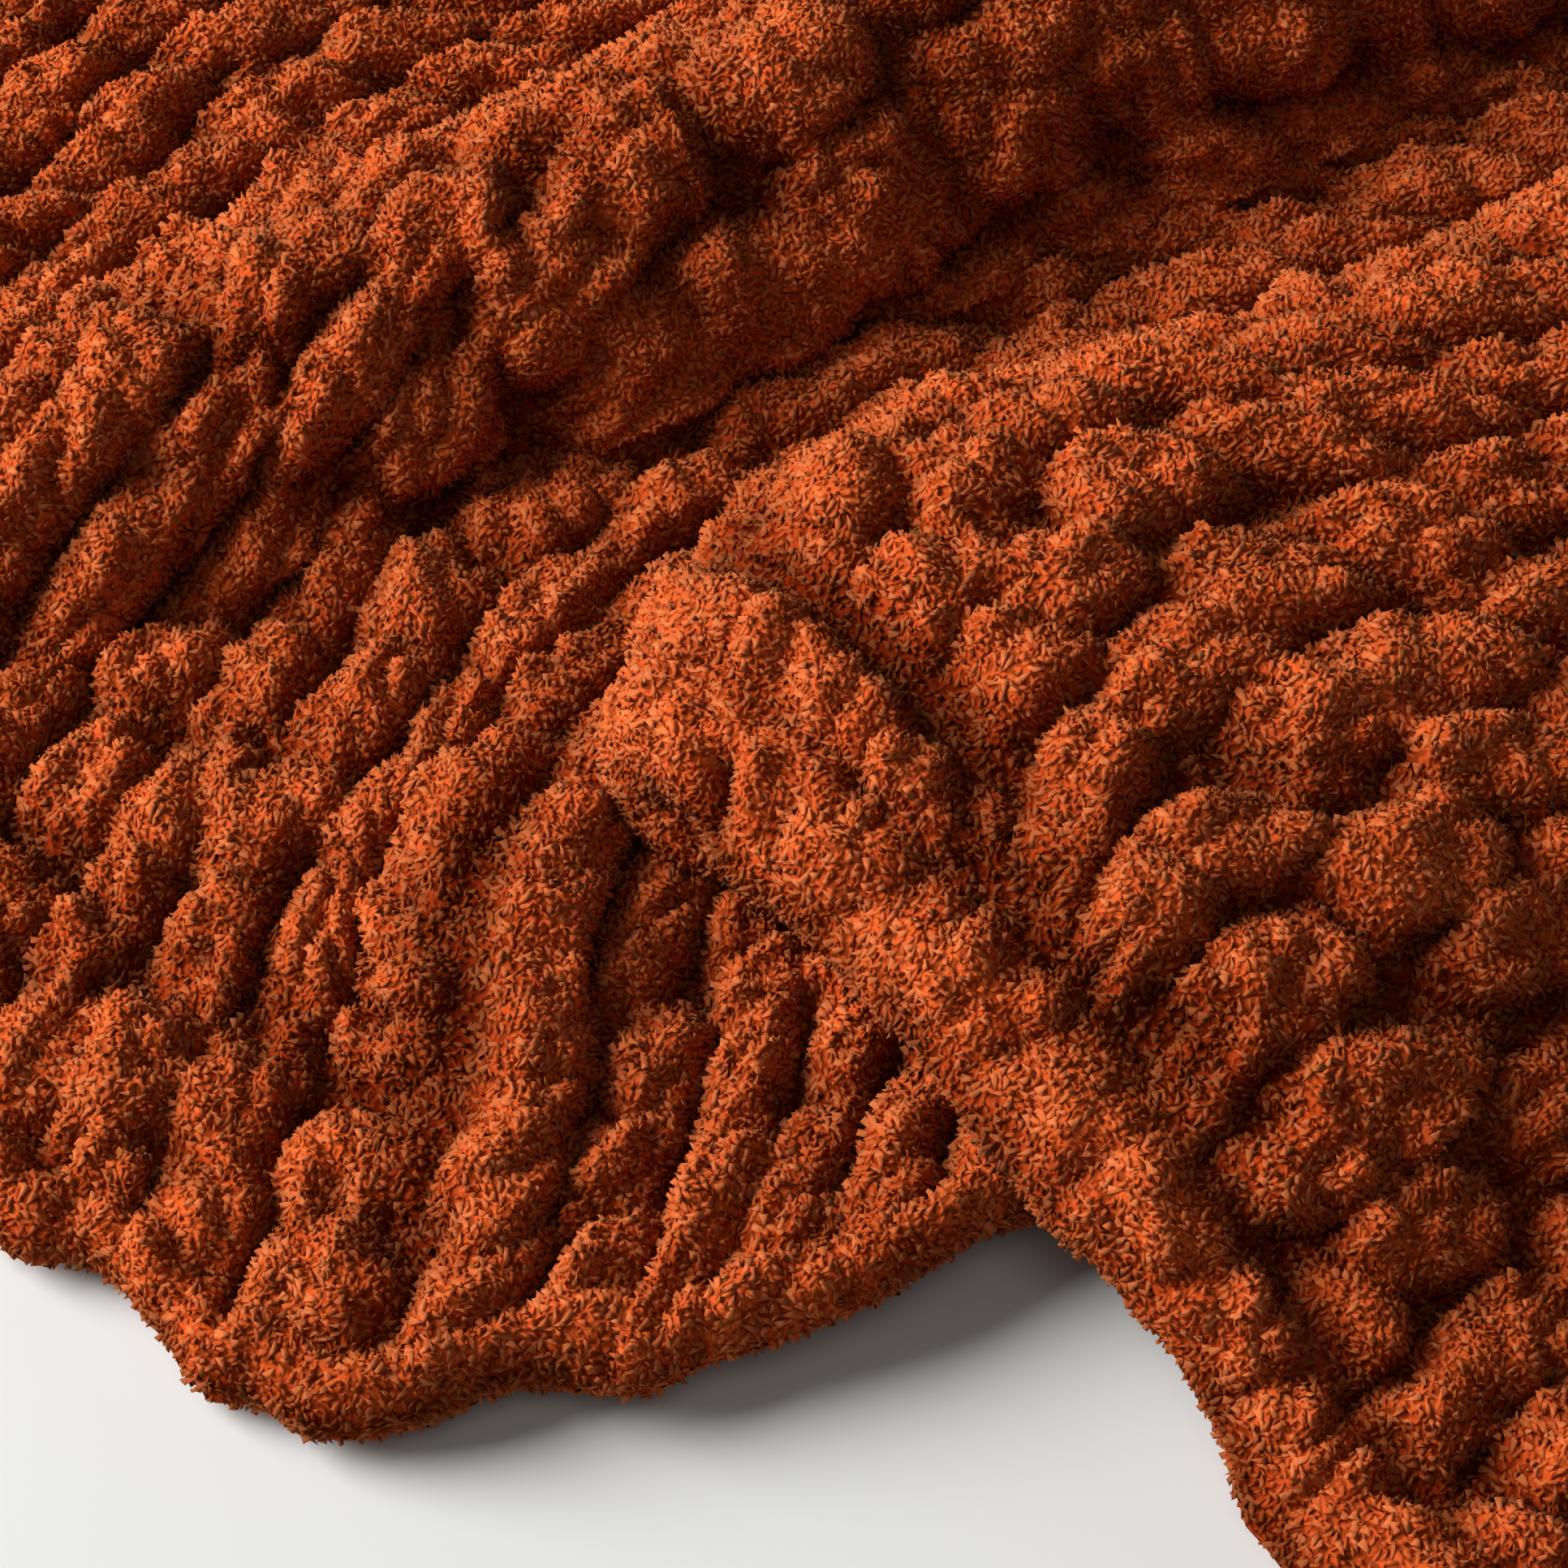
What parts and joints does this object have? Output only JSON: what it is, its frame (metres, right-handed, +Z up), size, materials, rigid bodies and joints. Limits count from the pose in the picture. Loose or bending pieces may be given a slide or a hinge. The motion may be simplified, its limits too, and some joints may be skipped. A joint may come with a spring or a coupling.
{
  "type": "chunky knit blanket",
  "caption": "Thick ribbed chenille knit blanket, a cut length lying in soft folds, with its front hem, a folded-over flap and a raised roll of cloth behind.",
  "frame": {"origin": "on the surface it lies on, under the middle of its box", "axes": "+Z up, +X to the right along the long side, +Y away from the front hem"},
  "size_m": [0.9527, 0.7856, 0.081],
  "materials": {
    "chenille_yarn": "matte rust-orange chenille pile"
  },
  "bodies": {
    "root": {"knit_blanket": "chenille_yarn"}
  },
  "joints": []
}
